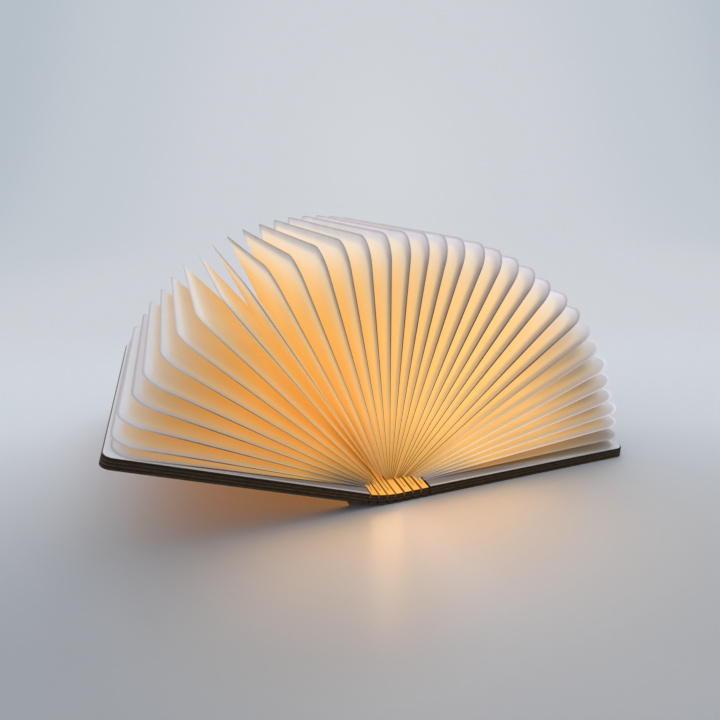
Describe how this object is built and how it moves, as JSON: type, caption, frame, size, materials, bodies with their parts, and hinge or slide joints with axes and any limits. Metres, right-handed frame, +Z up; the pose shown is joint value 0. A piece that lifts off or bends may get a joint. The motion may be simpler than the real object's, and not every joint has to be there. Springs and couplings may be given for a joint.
{
  "type": "folding book lamp",
  "caption": "Lamp shaped like an open book: wooden covers on a kerf-cut flexible spine, with a fan of white paper pages lit from the spine.",
  "frame": {"origin": "centre of the middle slat's underside, on the table", "axes": "+X to the right across the open book, +Y along the spine away from the viewer, +Z up"},
  "size_m": [0.3271, 0.215, 0.1586],
  "materials": {
    "walnut_ply": "dark oiled walnut-faced plywood",
    "paper": "white fibre paper, matt and translucent, lit from inside",
    "end_paper": "white fibre paper glued to the wood",
    "lights": "warm yellow light chip",
    "strip_board": "white flexible circuit board",
    "battery_wrap": "plain blue film",
    "circuit_board": "green circuit board",
    "socket_steel": "plain pressed steel",
    "switch_glass": "clear glass tube",
    "lead_film": "amber film",
    "magnet": "nickel plated"
  },
  "bodies": {
    "spine": {"slat_4": "walnut_ply", "light_strip": "strip_board", "lights": "lights"},
    "slat_3": {"slat_3": "walnut_ply"},
    "slat_5": {"slat_5": "walnut_ply"},
    "slat_2": {"slat_2": "walnut_ply"},
    "slat_6": {"slat_6": "walnut_ply"},
    "slat_1": {"slat_1": "walnut_ply"},
    "slat_7": {"slat_7": "walnut_ply"},
    "left_cover": {"left_cover": "walnut_ply", "left_end_sheet": "end_paper", "left_magnets": "magnet"},
    "right_cover": {"right_cover": "walnut_ply", "right_end_sheet": "end_paper", "right_magnets": "magnet", "battery": "battery_wrap", "control_board": "circuit_board", "charging_socket": "socket_steel", "magnetic_switch": "switch_glass", "flat_lead": "lead_film"},
    "page_01": {"page_01": "paper"},
    "page_02": {"page_02": "paper"},
    "page_03": {"page_03": "paper"},
    "page_04": {"page_04": "paper"},
    "page_05": {"page_05": "paper"},
    "page_06": {"page_06": "paper"},
    "page_07": {"page_07": "paper"},
    "page_08": {"page_08": "paper"},
    "page_09": {"page_09": "paper"},
    "page_10": {"page_10": "paper"},
    "page_11": {"page_11": "paper"},
    "page_12": {"page_12": "paper"},
    "page_13": {"page_13": "paper"},
    "page_14": {"page_14": "paper"},
    "page_15": {"page_15": "paper"},
    "page_16": {"page_16": "paper"},
    "page_17": {"page_17": "paper"},
    "page_18": {"page_18": "paper"},
    "page_19": {"page_19": "paper"},
    "page_20": {"page_20": "paper"},
    "page_21": {"page_21": "paper"},
    "page_22": {"page_22": "paper"},
    "page_23": {"page_23": "paper"},
    "page_24": {"page_24": "paper"},
    "page_25": {"page_25": "paper"},
    "page_26": {"page_26": "paper"},
    "page_27": {"page_27": "paper"},
    "page_28": {"page_28": "paper"},
    "page_29": {"page_29": "paper"},
    "page_30": {"page_30": "paper"},
    "page_31": {"page_31": "paper"},
    "page_32": {"page_32": "paper"},
    "page_33": {"page_33": "paper"},
    "page_34": {"page_34": "paper"}
  },
  "joints": [
    {"name": "left_cover_fold", "type": "hinge", "parent": "slat_1", "child": "left_cover", "pos_m": [-0.0193, 0, 0.00616], "axis": [0, 1, 0], "range_deg": [-27.5, 17.5]},
    {"name": "right_cover_fold", "type": "hinge", "parent": "slat_7", "child": "right_cover", "pos_m": [0.0196, 0, 0.00325], "axis": [0, -1, 0], "range_deg": [-22.5, 22.5]},
    {"name": "slat_3_fold", "type": "hinge", "parent": "spine", "child": "slat_3", "pos_m": [-0.0028, 0, 0.00325], "axis": [0, 1, 0], "range_deg": [-27.5, 17.5]},
    {"name": "slat_5_fold", "type": "hinge", "parent": "spine", "child": "slat_5", "pos_m": [0.0028, 0, 0.00325], "axis": [0, -1, 0], "range_deg": [-22.5, 22.5]},
    {"name": "slat_2_fold", "type": "hinge", "parent": "slat_3", "child": "slat_2", "pos_m": [-0.00838, 0, 0.00374], "axis": [0, 1, 0], "range_deg": [-27.5, 17.5]},
    {"name": "slat_6_fold", "type": "hinge", "parent": "slat_5", "child": "slat_6", "pos_m": [0.0084, 0, 0.00325], "axis": [0, -1, 0], "range_deg": [-22.5, 22.5]},
    {"name": "slat_1_fold", "type": "hinge", "parent": "slat_2", "child": "slat_1", "pos_m": [-0.01389, 0, 0.00471], "axis": [0, 1, 0], "range_deg": [-27.5, 17.5]},
    {"name": "slat_7_fold", "type": "hinge", "parent": "slat_6", "child": "slat_7", "pos_m": [0.014, 0, 0.00325], "axis": [0, -1, 0], "range_deg": [-22.5, 22.5]},
    {"name": "page_01_turn", "type": "hinge", "parent": "left_cover", "child": "page_01", "pos_m": [-0.01961, 0, 0.01], "axis": [0, -1, 0], "range_deg": [-3.98, 2.53]},
    {"name": "page_02_turn", "type": "hinge", "parent": "left_cover", "child": "page_02", "pos_m": [-0.01878, 0, 0.00993], "axis": [0, -1, 0], "range_deg": [-11.15, 7.1]},
    {"name": "page_03_turn", "type": "hinge", "parent": "slat_1", "child": "page_03", "pos_m": [-0.01529, 0, 0.0086], "axis": [0, 1, 0], "range_deg": [-9.18, 5.84]},
    {"name": "page_04_turn", "type": "hinge", "parent": "slat_1", "child": "page_04", "pos_m": [-0.01443, 0, 0.00837], "axis": [0, 1, 0], "range_deg": [-1.96, 1.25]},
    {"name": "page_05_turn", "type": "hinge", "parent": "slat_2", "child": "page_05", "pos_m": [-0.01172, 0, 0.00778], "axis": [0, 1, 0], "range_deg": [-22.15, 14.1]},
    {"name": "page_06_turn", "type": "hinge", "parent": "slat_2", "child": "page_06", "pos_m": [-0.01055, 0, 0.00757], "axis": [0, 1, 0], "range_deg": [-14.71, 9.36]},
    {"name": "page_07_turn", "type": "hinge", "parent": "slat_2", "child": "page_07", "pos_m": [-0.00937, 0, 0.00737], "axis": [0, 1, 0], "range_deg": [-7.14, 4.54]},
    {"name": "page_08_turn", "type": "hinge", "parent": "slat_3", "child": "page_08", "pos_m": [-0.00663, 0, 0.007], "axis": [0, 1, 0], "range_deg": [-26.96, 17.15]},
    {"name": "page_09_turn", "type": "hinge", "parent": "slat_3", "child": "page_09", "pos_m": [-0.00574, 0, 0.00692], "axis": [0, 1, 0], "range_deg": [-19.2, 12.22]},
    {"name": "page_10_turn", "type": "hinge", "parent": "slat_3", "child": "page_10", "pos_m": [-0.00485, 0, 0.00684], "axis": [0, 1, 0], "range_deg": [-11.44, 7.28]},
    {"name": "page_11_turn", "type": "hinge", "parent": "slat_3", "child": "page_11", "pos_m": [-0.00396, 0, 0.00676], "axis": [0, 1, 0], "range_deg": [-3.74, 2.38]},
    {"name": "page_12_turn", "type": "hinge", "parent": "spine", "child": "page_12", "pos_m": [-0.0021, 0, 0.00665], "axis": [0, 1, 0], "range_deg": [-23.69, 15.08]},
    {"name": "page_13_turn", "type": "hinge", "parent": "spine", "child": "page_13", "pos_m": [-0.0015, 0, 0.00665], "axis": [0, 1, 0], "range_deg": [-16.34, 10.4]},
    {"name": "page_14_turn", "type": "hinge", "parent": "spine", "child": "page_14", "pos_m": [-0.0009, 0, 0.00665], "axis": [0, 1, 0], "range_deg": [-9.22, 5.87]},
    {"name": "page_15_turn", "type": "hinge", "parent": "spine", "child": "page_15", "pos_m": [-0.0003, 0, 0.00665], "axis": [0, 1, 0], "range_deg": [-2.34, 1.49]},
    {"name": "page_16_turn", "type": "hinge", "parent": "spine", "child": "page_16", "pos_m": [0.0003, 0, 0.00665], "axis": [0, -1, 0], "range_deg": [-2.75, 2.75]},
    {"name": "page_17_turn", "type": "hinge", "parent": "spine", "child": "page_17", "pos_m": [0.0009, 0, 0.00665], "axis": [0, -1, 0], "range_deg": [-6.91, 6.91]},
    {"name": "page_18_turn", "type": "hinge", "parent": "spine", "child": "page_18", "pos_m": [0.0015, 0, 0.00665], "axis": [0, -1, 0], "range_deg": [-11.04, 11.04]},
    {"name": "page_19_turn", "type": "hinge", "parent": "spine", "child": "page_19", "pos_m": [0.0021, 0, 0.00665], "axis": [0, -1, 0], "range_deg": [-15.21, 15.21]},
    {"name": "page_20_turn", "type": "hinge", "parent": "slat_5", "child": "page_20", "pos_m": [0.00417, 0, 0.00665], "axis": [0, 1, 0], "range_deg": [-3.01, 3.01]},
    {"name": "page_21_turn", "type": "hinge", "parent": "slat_5", "child": "page_21", "pos_m": [0.00489, 0, 0.00665], "axis": [0, -1, 0], "range_deg": [-1.46, 1.46]},
    {"name": "page_22_turn", "type": "hinge", "parent": "slat_5", "child": "page_22", "pos_m": [0.0056, 0, 0.00665], "axis": [0, -1, 0], "range_deg": [-6.15, 6.15]},
    {"name": "page_23_turn", "type": "hinge", "parent": "slat_5", "child": "page_23", "pos_m": [0.00631, 0, 0.00665], "axis": [0, -1, 0], "range_deg": [-11.08, 11.08]},
    {"name": "page_24_turn", "type": "hinge", "parent": "slat_5", "child": "page_24", "pos_m": [0.00703, 0, 0.00665], "axis": [0, -1, 0], "range_deg": [-16.24, 16.24]},
    {"name": "page_25_turn", "type": "hinge", "parent": "slat_6", "child": "page_25", "pos_m": [0.00986, 0, 0.00665], "axis": [0, 1, 0], "range_deg": [-0.93, 0.93]},
    {"name": "page_26_turn", "type": "hinge", "parent": "slat_6", "child": "page_26", "pos_m": [0.01075, 0, 0.00665], "axis": [0, -1, 0], "range_deg": [-4.51, 4.51]},
    {"name": "page_27_turn", "type": "hinge", "parent": "slat_6", "child": "page_27", "pos_m": [0.01165, 0, 0.00665], "axis": [0, -1, 0], "range_deg": [-9.97, 9.97]},
    {"name": "page_28_turn", "type": "hinge", "parent": "slat_6", "child": "page_28", "pos_m": [0.01254, 0, 0.00665], "axis": [0, -1, 0], "range_deg": [-15.33, 15.33]},
    {"name": "page_29_turn", "type": "hinge", "parent": "slat_7", "child": "page_29", "pos_m": [0.01531, 0, 0.00665], "axis": [0, 1, 0], "range_deg": [-2, 2]},
    {"name": "page_30_turn", "type": "hinge", "parent": "slat_7", "child": "page_30", "pos_m": [0.01591, 0, 0.00665], "axis": [0, -1, 0], "range_deg": [-2.91, 2.91]},
    {"name": "page_31_turn", "type": "hinge", "parent": "slat_7", "child": "page_31", "pos_m": [0.0165, 0, 0.00665], "axis": [0, -1, 0], "range_deg": [-7.49, 7.49]},
    {"name": "page_32_turn", "type": "hinge", "parent": "right_cover", "child": "page_32", "pos_m": [0.0204, 0, 0.00719], "axis": [0, 1, 0], "range_deg": [-10.76, 10.76]},
    {"name": "page_33_turn", "type": "hinge", "parent": "right_cover", "child": "page_33", "pos_m": [0.0212, 0, 0.00697], "axis": [0, 1, 0], "range_deg": [-6.8, 6.8]},
    {"name": "page_34_turn", "type": "hinge", "parent": "right_cover", "child": "page_34", "pos_m": [0.022, 0, 0.00675], "axis": [0, 1, 0], "range_deg": [-3.08, 3.08]}
  ],
  "couplings": [
    {"joint": "slat_3_fold", "follows": "left_cover_fold", "ratio": 1},
    {"joint": "slat_5_fold", "follows": "right_cover_fold", "ratio": 1},
    {"joint": "slat_2_fold", "follows": "left_cover_fold", "ratio": 1},
    {"joint": "slat_6_fold", "follows": "right_cover_fold", "ratio": 1},
    {"joint": "slat_1_fold", "follows": "left_cover_fold", "ratio": 1},
    {"joint": "slat_7_fold", "follows": "right_cover_fold", "ratio": 1},
    {"joint": "page_01_turn", "follows": "left_cover_fold", "ratio": 0.1447},
    {"joint": "page_02_turn", "follows": "left_cover_fold", "ratio": 0.4054},
    {"joint": "page_03_turn", "follows": "left_cover_fold", "ratio": 0.3339},
    {"joint": "page_04_turn", "follows": "left_cover_fold", "ratio": 0.0714},
    {"joint": "page_05_turn", "follows": "left_cover_fold", "ratio": 0.8055},
    {"joint": "page_06_turn", "follows": "left_cover_fold", "ratio": 0.535},
    {"joint": "page_07_turn", "follows": "left_cover_fold", "ratio": 0.2596},
    {"joint": "page_08_turn", "follows": "left_cover_fold", "ratio": 0.9802},
    {"joint": "page_09_turn", "follows": "left_cover_fold", "ratio": 0.6982},
    {"joint": "page_10_turn", "follows": "left_cover_fold", "ratio": 0.4159},
    {"joint": "page_11_turn", "follows": "left_cover_fold", "ratio": 0.1361},
    {"joint": "page_12_turn", "follows": "left_cover_fold", "ratio": 0.8614},
    {"joint": "page_13_turn", "follows": "left_cover_fold", "ratio": 0.594},
    {"joint": "page_14_turn", "follows": "left_cover_fold", "ratio": 0.3352},
    {"joint": "page_15_turn", "follows": "left_cover_fold", "ratio": 0.0851},
    {"joint": "page_16_turn", "follows": "right_cover_fold", "ratio": 0.1224},
    {"joint": "page_17_turn", "follows": "right_cover_fold", "ratio": 0.3071},
    {"joint": "page_18_turn", "follows": "right_cover_fold", "ratio": 0.4905},
    {"joint": "page_19_turn", "follows": "right_cover_fold", "ratio": 0.6759},
    {"joint": "page_20_turn", "follows": "right_cover_fold", "ratio": 0.1336},
    {"joint": "page_21_turn", "follows": "right_cover_fold", "ratio": 0.0649},
    {"joint": "page_22_turn", "follows": "right_cover_fold", "ratio": 0.2733},
    {"joint": "page_23_turn", "follows": "right_cover_fold", "ratio": 0.4924},
    {"joint": "page_24_turn", "follows": "right_cover_fold", "ratio": 0.7216},
    {"joint": "page_25_turn", "follows": "right_cover_fold", "ratio": 0.0413},
    {"joint": "page_26_turn", "follows": "right_cover_fold", "ratio": 0.2006},
    {"joint": "page_27_turn", "follows": "right_cover_fold", "ratio": 0.443},
    {"joint": "page_28_turn", "follows": "right_cover_fold", "ratio": 0.6813},
    {"joint": "page_29_turn", "follows": "right_cover_fold", "ratio": 0.0888},
    {"joint": "page_30_turn", "follows": "right_cover_fold", "ratio": 0.1291},
    {"joint": "page_31_turn", "follows": "right_cover_fold", "ratio": 0.3328},
    {"joint": "page_32_turn", "follows": "right_cover_fold", "ratio": 0.4781},
    {"joint": "page_33_turn", "follows": "right_cover_fold", "ratio": 0.3024},
    {"joint": "page_34_turn", "follows": "right_cover_fold", "ratio": 0.1368}
  ]
}
